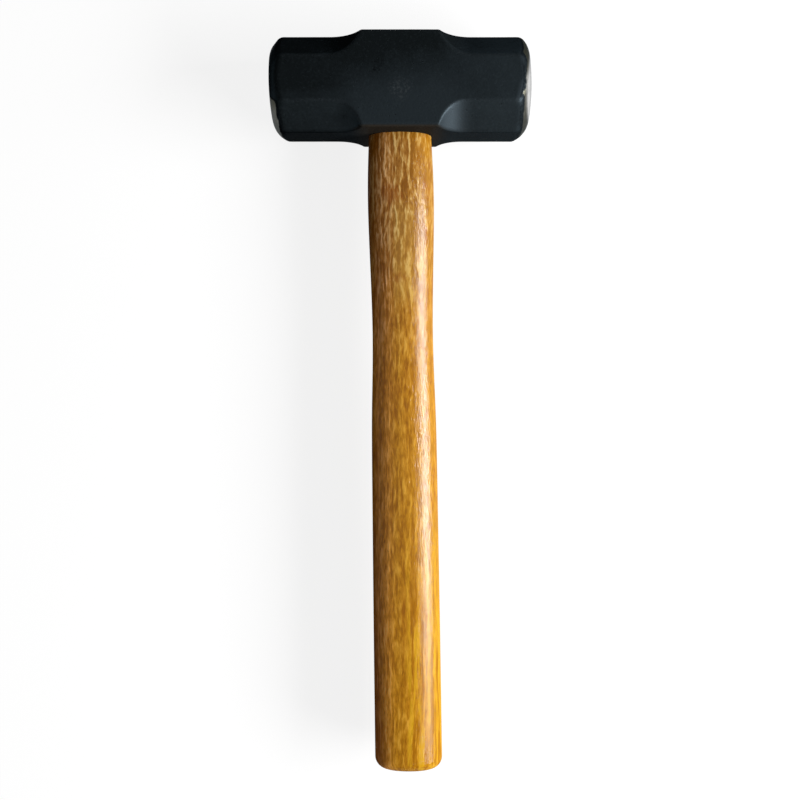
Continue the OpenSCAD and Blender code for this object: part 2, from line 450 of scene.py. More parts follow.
def mottle_and_painted_light(tree, place, spot, cloud):
    """How light the black is, from 0 to 1: mottled at random, with painted shade along the top of the head
    and painted light low on its middle and towards the right, and lighter at the very left."""
    middle = between(tree, sums(tree, "ABSOLUTE", spot["X"]), 36, 14)
    # Painted light: lighter towards the right, the lamp's side
    thin = sums(tree, "MULTIPLY_ADD", spot["X"], 0.0088, 0.12)
    thin = sums(tree, "MULTIPLY_ADD", cloud, 0.55, thin)
    # Painted shade high on the middle of the head and painted light low on it
    painted_light_and_shade = sums(tree, "MULTIPLY_ADD", between(tree, spot["Y"], 16, -12), 0.95, -0.35)
    painted_light_and_shade = sums(tree, "MULTIPLY_ADD", between(tree, spot["Y"], -10, -21), 0.2, painted_light_and_shade)
    thin = sums(tree, "MULTIPLY_ADD", middle, painted_light_and_shade, thin)
    # More painted light low beside the middle
    low = sums(tree, "MULTIPLY", between(tree, spot["Y"], -4, -8), between(tree, spot["X"], 36, 20))
    low = sums(tree, "MULTIPLY", low, sums(tree, "SUBTRACT", 1.0, middle))
    thin = sums(tree, "MULTIPLY_ADD", low, 0.3, thin)
    # Painted shade along the top of the head
    thin = sums(tree, "MULTIPLY_ADD", between(tree, spot["Y"], 11, 17), -0.16, thin)
    # Lighter at the very left end
    thin = sums(tree, "MULTIPLY_ADD", between(tree, spot["X"], -59, -61.5), 0.6, thin)
    fleck = grain(tree, place, 0.55, detail=5, rough=0.7)
    return sums(tree, "MULTIPLY_ADD", fleck, 0.7, sums(tree, "SUBTRACT", thin, 0.35))


def worn_in(tree, black, place, dust, cloud, pit):
    """The black with dust in its pores, dark pits, painted highlights along its edges, in the right
    hollow and beside the right face, and its scuff and stain.
    """
    dusty = between(tree, cloud, 0.3, 0.7, 0.1, 0.3)
    dusty = sums(tree, "MULTIPLY", between(tree, dust, 0.5, 0.76), dusty)
    black = tint(tree, dusty, black, dust_grey)
    black = tint(tree, sums(tree, "MULTIPLY", pit, 0.7), black, pit_black)
    # Painted highlight along the long edges
    edge_glint = sums(tree, "MULTIPLY", reading(tree, "painted_edge_highlight"), between(tree, dust, 0.4, 0.66, 0.06, 0.4))
    black = tint(tree, edge_glint, black, edge_highlight_black)
    scuff = between(tree, away_from(tree, place, scuff_spot), 7, 2.5)
    scuff = sums(tree, "MULTIPLY", scuff, between(tree, dust, 0.46, 0.62, 0, 0.38))
    black = tint(tree, scuff, black, scuffed_black)
    # Painted highlight in the right hollow and beside the right face
    black = tint(tree, reading(tree, "painted_highlight_right"), black, highlight_grey)
    ragged = grain(tree, place, 0.5, detail=4, rough=0.7)
    stain = sums(tree, "MULTIPLY_ADD", ragged, 14.0, away_from(tree, place, stain_spot))
    return tint(tree, between(tree, stain, 10.5, 7.0, 0, 0.75), black, stain_black)


def underside_tones(tree, black, spot):
    """The black with painted shade on the underside, deeper to the left, and brown on it beside the
    handle.
    """
    under = between(tree, spot["Y"], -22.0, -23.3)
    # Painted shade on the underside, deeper to the left
    shade = sums(tree, "MULTIPLY", under, between(tree, spot["X"], 45, -45, 0.25, 0.62))
    black = tint(tree, shade, black, shaded_black)
    by_handle = between(tree, sums(tree, "ABSOLUTE", spot["X"]), 25, 14)
    # Brown on the underside beside the handle
    brown_share = sums(tree, "MULTIPLY", by_handle, under)
    return tint(tree, sums(tree, "MULTIPLY", brown_share, 0.85), black, underside_brown)


def ground_steel(tree, lines):
    """Colour of the ground faces: dull and brownish, and bright where they have been struck and where
    painted reflection lightens them.
    """
    polish_and_painted_reflection = sums(tree, "MULTIPLY_ADD", sums(tree, "SUBTRACT", lines, 0.5), 0.5, reading(tree, "polish_and_painted_reflection"))
    steel = tint(tree, between(tree, polish_and_painted_reflection, -0.1, 0.45), brown_steel, grey_steel)
    return tint(tree, between(tree, polish_and_painted_reflection, 0.4, 0.9), steel, struck_steel)


def black_satin():
    """Thin black finish burnt on to forged steel, and the bare steel of the ground faces."""
    material, tree, shader, place = new_finish("black_satin")
    spot = add(tree, "ShaderNodeSeparateXYZ", {0: place}).outputs
    inside = reading(tree, "bare_zone")
    cloud = grain(tree, place, 0.075, detail=6, rough=0.65)
    dust = grain(tree, place, 0.9, detail=4, rough=0.75)
    pit = between(tree, grain(tree, place, 0.42, detail=4, rough=0.7), 0.36, 0.28)
    lines = grain(tree, stretched(tree, place, (1, 0.12, 5), (25, 0, 0)), 1.0, detail=4, rough=0.7)

    # The black, mottled and with painted light and shade, and with a dark edge round the bare faces
    black = tint(tree, mottle_and_painted_light(tree, place, spot, cloud), deep_black, mottled_and_lit_black)
    black = worn_in(tree, black, place, dust, cloud, pit)
    black = underside_tones(tree, black, spot)
    # Darker edge of the black round the bare faces
    burnt = between(tree, dust, 0.7, 0.4, 0.2, 0.6)
    burnt = sums(tree, "MULTIPLY", between(tree, inside, -1.9, -1.0), burnt)
    black = tint(tree, burnt, black, dark_edge_black)

    # The bare steel inside a ragged edge, with the marks of the grinder for roughness
    ragged = sums(tree, "MULTIPLY_ADD", grain(tree, place, 0.4, detail=4, rough=0.6), 1.2, inside)
    bare = between(tree, ragged, 0.3, 0.9)
    tree.links.new(tint(tree, bare, black, ground_steel(tree, lines)), shader.inputs["Base Color"])
    tree.links.new(sums(tree, "MULTIPLY_ADD", bare, 0.62, 0.38), shader.inputs["Metallic"])
    satin = sums(tree, "MULTIPLY_ADD", cloud, 0.14, 0.35)
    ground = sums(tree, "MULTIPLY_ADD", lines, 0.2, 0.3)
    mixed = sums(tree, "MULTIPLY_ADD", bare, sums(tree, "SUBTRACT", ground, satin), satin)
    tree.links.new(mixed, shader.inputs["Roughness"])

    # Pebbled black with pits, and scratched steel
    pebble = grain(tree, place, 1.1, detail=3, rough=0.6)
    skin = sums(tree, "MULTIPLY_ADD", pit, -0.9, pebble)
    scratch = sums(tree, "SUBTRACT", sums(tree, "MULTIPLY", lines, 0.35), skin)
    height = sums(tree, "MULTIPLY_ADD", bare, scratch, skin)
    tree.links.new(raised(tree, height, black_relief), shader.inputs["Normal"])
    shader.inputs["Specular IOR Level"].default_value = 0
    shader.inputs["Specular Tint"].default_value = (*black_sheen, 1)
    return material


head.data.materials.append(black_satin())
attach(head, "root")
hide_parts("head")

# The handle. One piece of oval hardwood, turned and sanded, with a swell behind the head and a
# rounded butt. Its tenon is driven into the eye until the shoulder meets the head, and all but
# the tenon's sawn end is varnished.
handle_low, handle_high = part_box("handle")
sides = 144
handle_len = -half_w - handle_low.y
tenon_end = handle_high.y
tenon_gap = 0.05 * mm
sawn_edge = 0.4 * mm
shoulder = 0.8 * mm
neck_thick = 2 * (eye_bottom_r + shoulder)
neck_wid = neck_thick + 2 * eye_spread
lean = math.tan(math.radians(0.8))
squareness = 2.2
butt_round = 5.5 * mm
butt_dome = 0.7 * mm
# Distance below the head, width and thickness at places that the shaft goes through. The two
# between the grip and the butt keep it on the curve of the CAD's handle
stations = (
    (0, neck_wid, neck_thick),
    (34 * mm, 33 * mm, 26 * mm),
    (96 * mm, 30.2 * mm, 23.8 * mm),
    (145 * mm, 32.2 * mm, 25 * mm),
    (190 * mm, 32.76 * mm, 25.53 * mm),
    (250 * mm, 33.23 * mm, 26.12 * mm),
    (handle_len, 33.4 * mm, 26.4 * mm),
)


def vector_sums(tree, operation, a, b):
    """One step of arithmetic on two vectors or colours."""
    return add(tree, "ShaderNodeVectorMath", {0: a, 1: b}, operation=operation).outputs["Vector"]


def shaft_inputs(tree):
    """Gives the shaft's tree its named inputs, and returns their sockets."""
    face = tree.interface
    face.new_socket(name="Geometry", in_out="INPUT", socket_type="NodeSocketGeometry")
    for name, kind in (
        ("Sides", "Int"),
        ("Straight Rings", "Int"),
        ("Round Rings", "Int"),
        ("Dome Rings", "Int"),
        ("Butt Round", "Float"),
        ("Butt Dome", "Float"),
        ("Squareness", "Float"),
        ("Finish", "Material"),
    ):
        face.new_socket(name=name, in_out="INPUT", socket_type="NodeSocket" + kind)
    face.new_socket(name="Geometry", in_out="OUTPUT", socket_type="NodeSocketGeometry")
    return add(tree, "NodeGroupInput").outputs


def shaft_path(tree, stations_mesh):
    """Smooth curve through the stations."""
    path = add(tree, "GeometryNodeMeshToCurve", {"Mesh": stations_mesh}).outputs["Curve"]
    path = add(tree, "GeometryNodeCurveSplineType", {"Curve": path}, spline_type="CATMULL_ROM").outputs[0]
    return add(tree, "GeometryNodeSetSplineResolution", {0: path, "Resolution": 48}).outputs[0]


def unit_grid(tree, steps, around):
    """Flat grid a metre each way, with a row for each ring and a column for each side."""
    rows = sums(tree, "ADD", steps, 1)
    columns = sums(tree, "ADD", around, 1)
    sizes = {"Size X": 1.0, "Size Y": 1.0, "Vertices X": rows, "Vertices Y": columns}
    return add(tree, "GeometryNodeMeshGrid", sizes).outputs["Mesh"]


def shaft_tree():
    """Node tree that sweeps an oval along a path of stations and closes it with a round butt."""
    tree = bpy.data.node_groups.new("oval_shaft", "GeometryNodeTree")
    given = shaft_inputs(tree)
    path = shaft_path(tree, given["Geometry"])
    length = add(tree, "GeometryNodeCurveLength", {"Curve": path}).outputs["Length"]

    # Each point of the grid is a step down the shaft and an angle round it
    body_rings = sums(tree, "ADD", given["Straight Rings"], given["Round Rings"])
    steps = sums(tree, "ADD", body_rings, given["Dome Rings"])
    grid = unit_grid(tree, steps, given["Sides"])
    position = add(tree, "GeometryNodeInputPosition").outputs[0]
    spot = add(tree, "ShaderNodeSeparateXYZ", {0: position}).outputs
    step = sums(tree, "MULTIPLY", sums(tree, "ADD", spot["X"], 0.5), steps)
    angle = sums(tree, "MULTIPLY", sums(tree, "ADD", spot["Y"], 0.5), math.tau)

    def share(start, count):
        gone = sums(tree, "DIVIDE", sums(tree, "SUBTRACT", step, start), count)
        return add(tree, "ShaderNodeClamp", {0: gone}).outputs[0]

    # How far down the path each step is, and how far the rounded edge and the dome draw it in
    straight = share(0.0, given["Straight Rings"])
    corner = sums(tree, "MULTIPLY", share(given["Straight Rings"], given["Round Rings"]), math.pi / 2)
    dome = share(body_rings, given["Dome Rings"])
    out = sums(tree, "SUBTRACT", 1.0, dome)
    ends = sums(tree, "ADD", given["Butt Round"], given["Butt Dome"])
    down = sums(tree, "MULTIPLY", straight, sums(tree, "SUBTRACT", length, ends))
    down = sums(tree, "MULTIPLY_ADD", sums(tree, "SINE", corner), given["Butt Round"], down)
    rise = sums(tree, "SUBTRACT", 1.0, sums(tree, "MULTIPLY", out, out))
    down = sums(tree, "MULTIPLY_ADD", rise, given["Butt Dome"], down)
    inset = sums(tree, "SUBTRACT", 1.0, sums(tree, "COSINE", corner))
    inset = sums(tree, "MULTIPLY", given["Butt Round"], inset)

    def along_path(attribute):
        value = add(tree, "GeometryNodeInputNamedAttribute", {"Name": attribute}, data_type="FLOAT")
        return add(
            tree,
            "GeometryNodeSampleCurve",
            {"Curves": path, 1: value.outputs["Attribute"], "Length": down},
            mode="LENGTH",
            data_type="FLOAT",
        ).outputs

    def half_size(attribute):
        half = sums(tree, "MULTIPLY", along_path(attribute)[0], 0.5)
        return sums(tree, "MULTIPLY", sums(tree, "SUBTRACT", half, inset), out)

    def squarish(value):
        power = sums(tree, "DIVIDE", 2.0, given["Squareness"])
        bulge = sums(tree, "POWER", sums(tree, "ABSOLUTE", value), power)
        return sums(tree, "MULTIPLY", sums(tree, "SIGN", value), bulge)

    # The oval round the path, of the width and thickness that the stations give there
    across = sums(tree, "MULTIPLY", half_size("width"), squarish(sums(tree, "COSINE", angle)))
    up = sums(tree, "MULTIPLY", half_size("thickness"), squarish(sums(tree, "SINE", angle)))
    centre = along_path("width")["Position"]
    off = add(tree, "ShaderNodeCombineXYZ", {"X": across, "Z": up}).outputs[0]
    place = vector_sums(tree, "ADD", centre, off)

    skin = add(tree, "GeometryNodeSetPosition", {"Geometry": grid, "Position": place}).outputs[0]
    skin = add(tree, "GeometryNodeMergeByDistance", {"Geometry": skin, "Distance": hair}).outputs[0]
    skin = add(tree, "GeometryNodeRealizeInstances", {"Geometry": skin}).outputs[0]
    skin = add(tree, "GeometryNodeSetMaterial", {"Geometry": skin, "Material": given["Finish"]}).outputs[0]
    add(tree, "NodeGroupOutput", {"Geometry": skin})
    return tree


def grown(name, mesh, tree, values):
    """Runs a node tree on a mesh, and returns the result as a plain piece."""
    piece = bpy.data.objects.new(name, mesh)
    bpy.context.scene.collection.objects.link(piece)
    modifier = piece.modifiers.new(tree.name, "NODES")
    modifier.node_group = tree
    for socket in tree.interface.items_tree:
        if socket.name in values and socket.in_out == "INPUT":
            modifier[socket.identifier] = values[socket.name]
    made_plain(piece)
    return piece


# Where the wood's look changes along the handle, in millimetres from the middle of the head: its
# figure fades from figure_full to figure_ends, and its gold comes in from gold_starts on
figure_full = -50.0
figure_ends = -150.0
gold_starts = -170.0
gold_full = -300.0
# Distance between the year rings, in millimetres
ring_gap = 1.95
# Below the swell the wood has a pale patch in its middle and a dark one to the left of it, given
# across from the handle's middle line and along it
pale_across = (-3.0, 5.0)
pale_along = (-100.0, -66.0)
pale_gold = (0.47, 0.26, 0.06)
dark_across = (-8.5, -5.8)
dark_along = (-88.0, -60.0)
# Small brown marks near the top of the handle, as (middle, size)
brown_marks = (((0.0, -95.2, 36.4), 3.2), ((-4.9, -54.0, 36.0), 5.5))
# The varnish: a clear coat whose strength goes down from the head to the butt
varnish_by_head = 0.31
varnish_by_butt = 0.09
varnish_rough = 0.14
varnish_ior = 2.4
wood_relief = 0.1 * mm
varnish_relief = 0.2 * mm
# How far below the end of the tenon its sawn look stops, in millimetres
sawn_skin = 0.3


def within(tree, value, low, high, soft):
    """1 between two values, fading to 0 over a soft edge outside them."""
    rise = between(tree, value, low - soft, low)
    return sums(tree, "MULTIPLY", rise, between(tree, value, high + soft, high))


def scaled(colour, factors):
    """A colour with each of its channels multiplied."""
    return [c * f for c, f in zip(colour, factors)]


def along_grain(tree, place, scale, detail=2.0, rough=0.5):
    """Noise drawn out along the wood, of so many features to the millimetre each way."""
    return grain(tree, stretched(tree, place, scale), 1.0, detail=detail, rough=rough)


def swayed(tree, place):
    """Coordinates that wander sideways along the handle, as the grain of a tree does."""
    slow = stretched(tree, place, (0.05, 0.014, 0.05))
    sway = add(tree, "ShaderNodeTexNoise", {"Vector": slow, "Scale": 1.0, "Detail": 3.0}).outputs["Color"]
    sway = vector_sums(tree, "SUBTRACT", sway, (0.5, 0.5, 0.5))
    sway = vector_sums(tree, "MULTIPLY", sway, (7, 0, 7))
    return vector_sums(tree, "ADD", place, sway)


def year_rings(tree, place, bent, figured, heart):
    """Waves of the year rings round the heart of the tree, which curl more near the head."""
    spot = add(tree, "ShaderNodeSeparateXYZ", {0: bent}).outputs
    across = sums(tree, "SUBTRACT", spot["X"], heart[0])
    up = sums(tree, "SUBTRACT", spot["Z"], heart[1])
    squares = sums(tree, "MULTIPLY_ADD", across, across, sums(tree, "MULTIPLY", up, up))
    ripple = along_grain(tree, place, (0.16, 0.07, 0.16), detail=4, rough=0.62)
    curl = sums(tree, "MULTIPLY_ADD", figured, 2.2, 1.6)
    reach = sums(tree, "MULTIPLY_ADD", ripple, curl, sums(tree, "SQRT", squares))
    ring = sums(tree, "MULTIPLY", sums(tree, "DIVIDE", reach, ring_gap), math.tau)
    return sums(tree, "POWER", sums(tree, "MULTIPLY_ADD", sums(tree, "SINE", ring), 0.5, 0.5), 2.0)


def wood_tone(tree, place, bent, figured, wave, streak, dash, fibre):
    """How light the wood is at each point, from its streaks, dashes, fibres, flakes and threads."""
    gaps = along_grain(tree, place, (0.3, 0.085, 0.3), detail=3, rough=0.6)
    flaked = sums(tree, "MULTIPLY", wave, between(tree, gaps, 0.42, 0.6, 0.3, 1.15))
    level = along_grain(tree, bent, (0.42, 0.06, 0.42))
    thread = sums(tree, "ABSOLUTE", sums(tree, "SUBTRACT", level, 0.5))
    broken = between(tree, along_grain(tree, place, (0.4, 0.1, 0.4)), 0.4, 0.6)
    thread = sums(tree, "MULTIPLY", between(tree, thread, 0.06, 0.01), broken)
    tone = sums(tree, "MULTIPLY_ADD", dash, 0.8, streak)
    tone = sums(tree, "MULTIPLY_ADD", sums(tree, "SUBTRACT", fibre, 0.5), 0.5, tone)
    pull = sums(tree, "MULTIPLY_ADD", figured, 0.17, 0.16)
    tone = sums(tree, "MULTIPLY_ADD", sums(tree, "SUBTRACT", flaked, 0.3), pull, tone)
    shown = sums(tree, "MULTIPLY_ADD", figured, 0.2, 0.06)
    return sums(tree, "MULTIPLY_ADD", thread, shown, tone)


def broad_tones(tree, colour, along, side, off_middle, figured, by_butt):
    """The wood with broad changes of colour from side to side and lengthwise: pale and dark patches,
    painted light across its left half and painted shade at its far left rim, more of both near the butt.
    """
    painted_light_left = sums(tree, "MULTIPLY", between(tree, side, -14.5, -10.5), between(tree, side, -1.0, -9.0))
    painted_light_left_low = between(tree, off_middle, -13.5, -10.5)
    painted_light_left_low = sums(tree, "MULTIPLY", painted_light_left_low, between(tree, off_middle, -3.5, -7.0))
    painted_shade_left_rim = between(tree, off_middle, -13.0, -15.5)
    pale_patch = within(tree, off_middle, *pale_across, 2.5)
    pale_patch = sums(tree, "MULTIPLY", pale_patch, within(tree, along, *pale_along, 12.0))
    dark_patch = within(tree, off_middle, *dark_across, 1.6)
    dark_patch = sums(tree, "MULTIPLY", dark_patch, within(tree, along, *dark_along, 10.0))
    # Painted light across the left half and painted shade at its rim, more of both near the butt; then the
    # pale and dark patches
    for share, change in (
        (painted_light_left, tint(tree, figured, (1.7, 1.56, 3.6), (1.7, 1.56, 2.0))),
        (between(tree, side, -13.5, -16.0), (0.7, 0.6, 1.2)),
        (sums(tree, "MULTIPLY", by_butt, painted_light_left_low), (1.4, 1.45, 1.6)),
        (sums(tree, "MULTIPLY", by_butt, painted_shade_left_rim), (0.62, 0.55, 0.8)),
        (pale_patch, (1.1, 1.2, 1.3)),
        (dark_patch, (0.76, 0.73, 0.62)),
    ):
        colour = tint(tree, share, colour, vector_sums(tree, "MULTIPLY", colour, change))
    return tint(tree, sums(tree, "MULTIPLY", pale_patch, 0.22), colour, pale_gold)


def right_side_tones(tree, colour, place, bent, side, by_butt, far, russet):
    """The wood with russet smudges down its right side, gold and dark streaks low on it, and a painted
    highlight along its right edge near the butt.
    """
    smudge = along_grain(tree, place, (0.5, 0.11, 0.5), detail=3, rough=0.6)
    at_edge = between(tree, side, 9.0, 14.0, 0.0, 0.55)
    smudge = sums(tree, "MULTIPLY", between(tree, smudge, 0.54, 0.66), at_edge)
    colour = tint(tree, smudge, colour, russet)
    long_streak = along_grain(tree, bent, (0.55, 0.016, 0.55), detail=3, rough=0.65)
    right_half = sums(tree, "MULTIPLY", by_butt, between(tree, side, 0.0, 6.0))
    gold = sums(tree, "MULTIPLY", right_half, between(tree, long_streak, 0.5, 0.58, 0.0, 0.6))
    colour = tint(tree, gold, colour, scaled(far[2], (0.96, 1.08, 0.4)))
    # Painted highlight along the right edge near the butt, the lamp's side
    rim = sums(tree, "MULTIPLY", by_butt, between(tree, side, 12.0, 16.0, 0.0, 0.3))
    colour = tint(tree, rim, colour, scaled(far[2], (1.0, 1.2, 0.8)))
    seam = sums(tree, "MULTIPLY", right_half, between(tree, long_streak, 0.47, 0.41, 0.0, 0.8))
    return tint(tree, seam, colour, scaled(far[0], (1.0, 1.0, 0.5)))


def with_brown_marks(tree, colour, bent, dash, russet):
    """The wood with its small brown marks, whose edges the dashes of the grain break up."""
    for middle, size in brown_marks:
        mark_out = sums(tree, "MULTIPLY_ADD", dash, 5.0, away_from(tree, bent, middle))
        share = between(tree, mark_out, size + 3.5, size + 0.5, 0.0, 0.42)
        colour = tint(tree, share, colour, russet)
    return colour


def varnish_weight(tree, place, along, side, off_middle, sawn):
    """Strength of the clear coat: less by the butt, on the left and far right, and in specks."""
    coat = between(tree, along, -200, -320, varnish_by_head, varnish_by_butt)
    coat = sums(tree, "MULTIPLY", coat, between(tree, side, -13.0, -3.0, 0.03, 1.0))
    coat = sums(tree, "MULTIPLY", coat, between(tree, off_middle, 10.8, 13.5, 1.0, 0.55))
    coat = sums(tree, "MULTIPLY", coat, sums(tree, "SUBTRACT", 1.0, sawn))
    speck = along_grain(tree, place, (1.5, 0.7, 1.5), rough=0.7)
    return sums(tree, "MULTIPLY", coat, between(tree, speck, 0.36, 0.5, 0.55, 1.12))


def hardwood(name, near, far, sawn_end, heart=(-42.0, -15.0)):
    """Varnished hardwood: its dark, middle and light tones near the head and far from it, and the
    two tones of its sawn end. The heart of the tree lies at (x, z), in millimetres."""
    material, tree, shader, place = new_finish(name)
    spot = add(tree, "ShaderNodeSeparateXYZ", {0: place}).outputs
    along, side = spot["Y"], spot["X"]
    off_middle = sums(tree, "MULTIPLY_ADD", along, lean, side)
    figured = between(tree, along, figure_ends, figure_full)
    by_butt = between(tree, along, gold_starts, gold_full)

    # The grain: rings, streaks, dashes and fibres, which together set how light the wood is
    bent = swayed(tree, place)
    wave = year_rings(tree, place, bent, figured, heart)
    streak = along_grain(tree, bent, (0.5, 0.085, 0.5))
    dash = along_grain(tree, bent, (0.8, 0.2, 0.8), rough=0.6)
    fibre = grain(tree, stretched(tree, bent, (1.0, 0.16, 1.0)), 1.9, detail=3, rough=0.65)
    tone = wood_tone(tree, place, bent, figured, wave, streak, dash, fibre)
    dark, middle, light = (tint(tree, figured, a, b) for a, b in zip(far, near))
    colour = tint(tree, between(tree, tone, 0.66, 0.96), dark, middle)
    colour = tint(tree, between(tree, tone, 0.88, 1.24), colour, light)

    # Russet in patches, and down the left side as painted shade, and then the other broad tones
    russet = scaled(near[0], (1.3, 0.9, 0.7))
    patch = along_grain(tree, place, (0.07, 0.022, 0.07), detail=3)
    # Painted shade: russet down the left side, away from the lamp
    painted_shade_left = between(tree, side, -8.0, -15.0, 0.0, 0.3)
    red = sums(tree, "ADD", between(tree, patch, 0.5, 0.75, 0.0, 0.45), painted_shade_left)
    red = add(tree, "ShaderNodeClamp", {0: red}).outputs[0]
    colour = tint(tree, red, colour, russet)
    colour = broad_tones(tree, colour, along, side, off_middle, figured, by_butt)
    # Yellower towards the right side
    right_yellow = between(tree, side, 2.0, 15.0, 0.0, 0.38)
    colour = tint(tree, right_yellow, colour, scaled(far[1], (1.0, 1.14, 0.6)))
    colour = right_side_tones(tree, colour, place, bent, side, by_butt, far, russet)
    colour = with_brown_marks(tree, colour, bent, dash, russet)
    pore = sums(tree, "MULTIPLY", between(tree, fibre, 0.4, 0.28), 0.35)
    colour = tint(tree, pore, colour, scaled(near[0], (0.5, 0.5, 0.5)))

    # The sawn end on top of the head, which shows the rings and has no varnish
    end_y = tenon_end / mm
    sawn = between(tree, along, end_y - sawn_skin, end_y - 0.1)
    end_tone = sums(tree, "MULTIPLY_ADD", wave, 0.35, tone)
    end_colour = tint(tree, between(tree, end_tone, 0.85, 1.3), *sawn_end)
    tree.links.new(tint(tree, sawn, colour, end_colour), shader.inputs["Base Color"])

    # Sanded wood under its coat of varnish, both a little uneven along the fibres
    tree.links.new(sums(tree, "MULTIPLY_ADD", streak, 0.25, 0.45), shader.inputs["Roughness"])
    relief = sums(tree, "MULTIPLY_ADD", fibre, 0.4, tone)
    tree.links.new(raised(tree, relief, wood_relief), shader.inputs["Normal"])
    film = along_grain(tree, place, (1.1, 0.24, 1.1), detail=3, rough=0.6)
    film = sums(tree, "MULTIPLY_ADD", film, 1.3, sums(tree, "MULTIPLY", fibre, 0.3))
    tree.links.new(raised(tree, film, varnish_relief), shader.inputs["Coat Normal"])
    coat = varnish_weight(tree, place, along, side, off_middle, sawn)
    tree.links.new(coat, shader.inputs["Coat Weight"])
    shader.inputs["Coat Roughness"].default_value = varnish_rough
    shader.inputs["Coat IOR"].default_value = varnish_ior
    shader.inputs["Specular IOR Level"].default_value = 0
    return material


def station_path():
    """The path of the shaft: a point at each station, with its width and thickness."""
    mesh = bpy.data.meshes.new("stations")
    spots = [(down * lean, -half_w - down, axis_z) for down, _, _ in stations]
    mesh.from_pydata(spots, [(i, i + 1) for i in range(len(spots) - 1)], [])
    for name, column in (("width", 1), ("thickness", 2)):
        sizes = mesh.attributes.new(name, "FLOAT", "POINT")
        sizes.data.foreach_set("value", [station[column] for station in stations])
    return mesh


varnished = hardwood(
    "varnished_wood",
    near=((0.225, 0.08, 0.005), (0.385, 0.167, 0.023), (0.63, 0.4, 0.13)),
    far=((0.32, 0.118, 0.004), (0.475, 0.2, 0.009), (0.68, 0.335, 0.034)),
    sawn_end=((0.19, 0.095, 0.035), (0.42, 0.255, 0.115)),
)
handle = grown(
    "handle_shaft",
    station_path(),
    shaft_tree(),
    {
        "Sides": sides,
        "Straight Rings": 220,
        "Round Rings": 14,
        "Dome Rings": 16,
        "Butt Round": butt_round,
        "Butt Dome": butt_dome,
        "Squareness": squareness,
        "Finish": varnished,
    },
)


def neck_ring():
    """The ring of the shaft that meets the head."""
    angle = np.arange(sides) * 2 * math.pi / sides

    def squarish(value):
        return np.sign(value) * abs(value) ** (2 / squareness)

    across = neck_wid / 2 * squarish(np.cos(angle))
    up = neck_thick / 2 * squarish(np.sin(angle))
    return np.stack([across, np.full(sides, -half_w), axis_z + up], axis=1)


def tenon_rings():
    """Rings from the shoulder up through the eye to the sawn end of the tenon."""
    top_slope = (eye_top_r - eye_waist_r) / (half_w - eye_waist_y)
    end_r = eye_waist_r + (tenon_end - eye_waist_y) * top_slope - tenon_gap
    rows = [
        (-half_w, eye_bottom_r - tenon_gap),
        (eye_waist_y, eye_waist_r - tenon_gap),
        (tenon_end - sawn_edge, end_r - sawn_edge * top_slope),
        (tenon_end, end_r - sawn_edge),
    ]
    rings = [neck_ring()] + [oval_ring(y, eye_spread, r, sides) for y, r in rows]
    sawn = rings[-1]
    middle = sawn.mean(0)
    return rings + [middle + (sawn - middle) * share for share in (0.8, 0.6, 0.4, 0.2)]


def closes_shoulder(face):
    """Whether a face is in the fan that closes the tenon where the shaft goes on."""
    foot = Vector((0, -half_w, axis_z))
    level = all(point.co.y < -half_w + hair for point in face.verts)
    return level and any((point.co - foot).length < 1 * mm for point in face.verts)


tenon = lofted("tenon", tenon_rings())
joined = bmesh.new()
joined.from_mesh(tenon.data)
fan = [face for face in joined.faces if closes_shoulder(face)]
bmesh.ops.delete(joined, geom=fan, context="FACES")
joined.from_mesh(handle.data)
bmesh.ops.remove_doubles(joined, verts=joined.verts, dist=0.01 * mm)
joined.to_mesh(handle.data)
joined.free()
bpy.data.objects.remove(tenon)
tidied(handle, 35)

# The kerf that is sawn in the tenon, and the pockets that the wedges press open in it. They have
# the sizes of the CAD's wedges, so that each wedge fills its own
wedge_len = 30 * mm
wedge_thick = 5 * mm
wedge_tip = 1.6 * mm
kerf_wid = 1.2 * mm
kerf_depth = 37 * mm
steel_len = 24 * mm
steel_wid = 14 * mm
steel_thick = 2.8 * mm
steel_tip = 0.5 * mm
steel_pitch = 13 * mm
# Length of the kerf's and of the wooden wedge's rooms, out past both ends of the eye
room_len = 4 * eye_waist_r


def block(name, levels):
    """Solid through oblongs across the handle, each given as (y, x, length in X, width in Z)."""
    rings = []
    for y, x, long, wide in levels:
        corners = ((1, 1), (-1, 1), (-1, -1), (1, -1))
        rings.append([(x + a * long / 2, y, axis_z + b * wide / 2) for a, b in corners])
    piece = lofted(name, rings)
    tidied(piece, 30)
    return piece


def sawn_kerf():
    """Block that the saw took out, from the foot of the kerf up past the sawn end."""
    foot = tenon_end - kerf_depth
    return block("kerf", [(foot, 0, room_len, kerf_wid), (tenon_end + past, 0, room_len, kerf_wid)])


def wooden_wedge_room():
    """Block that the wooden wedge opens, from its tip up past the sawn end."""
    slope = (wedge_thick - wedge_tip) / wedge_len
    top = wedge_thick + past * slope
    tip_y = tenon_end - wedge_len
    levels = [(tip_y, 0, room_len, wedge_tip), (tenon_end + past, 0, room_len, top)]
    return block("wooden_wedge_room", levels)


def steel_wedge_room(name, side):
    """Block that one steel wedge opens, from its tip up past the sawn end."""
    slope = (steel_thick - steel_tip) / steel_len
    top = steel_thick + past * slope
    x = side * steel_pitch / 2
    tip_y = tenon_end - steel_len
    return block(name, [(tip_y, x, steel_tip, steel_wid), (tenon_end + past, x, top, steel_wid)])


cut(
    handle,
    [
        sawn_kerf(),
        wooden_wedge_room(),
        steel_wedge_room("left_room", -1),
        steel_wedge_room("right_room", 1),
    ],
)
tidied(handle, 35)
handle.data.materials.clear()
handle.data.materials.append(varnished)
handle.data.polygons.foreach_set("material_index", [0] * len(handle.data.polygons))
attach(handle, "root")
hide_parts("handle")

